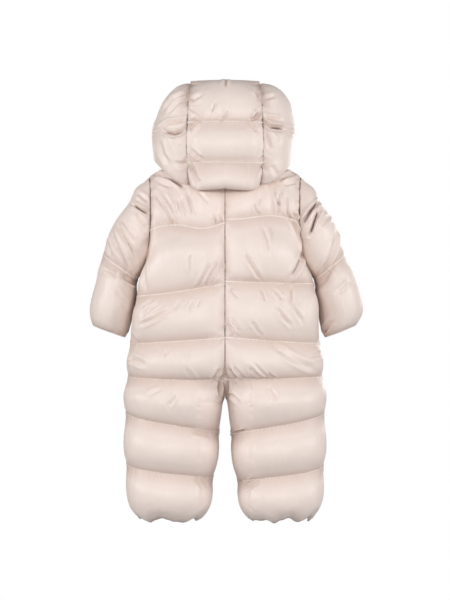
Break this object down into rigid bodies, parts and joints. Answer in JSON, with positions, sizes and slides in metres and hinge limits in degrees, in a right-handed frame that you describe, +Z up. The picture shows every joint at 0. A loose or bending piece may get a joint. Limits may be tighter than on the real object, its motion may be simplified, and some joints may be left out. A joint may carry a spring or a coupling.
{
  "type": "baby hooded down snowsuit",
  "caption": "One-piece padded snowsuit for a baby, with hood, long sleeves and legs, quilted across in soft down channels, closed by a front zip.",
  "frame": {"origin": "on the middle line between the shoulders, in the middle of the neck opening, where the suit hangs from its wearer", "axes": "+Z up the body, -Y out of the front, +X toward the wearer's left"},
  "size_m": [0.46, 0.221, 0.7469],
  "materials": {
    "satin_nylon": "smooth satin-faced nylon, pale beige pink",
    "zip_tape": "woven polyester tape, pale beige pink",
    "zip_teeth": "moulded plastic teeth, pale beige pink",
    "zip_metal": "satin nickel plate"
  },
  "bodies": {
    "suit": {"back_left": "satin_nylon", "back_right": "satin_nylon", "front_left": "satin_nylon", "front_right": "satin_nylon", "sleeve_left": "satin_nylon", "sleeve_right": "satin_nylon", "hood_centre": "satin_nylon", "hood_side_left": "satin_nylon", "hood_side_right": "satin_nylon", "zip_tape_left": "zip_tape", "zip_tape_right": "zip_tape", "zip_chain": "zip_teeth", "zip_slider": "zip_metal"},
    "pull_tab": {"zip_pull": "zip_metal"}
  },
  "joints": [
    {"name": "pull_tab_swing", "type": "hinge", "parent": "suit", "child": "pull_tab", "pos_m": [0, -0.06389, -0.03096], "axis": [-1, 0, 0], "range_deg": [0, 160]}
  ]
}
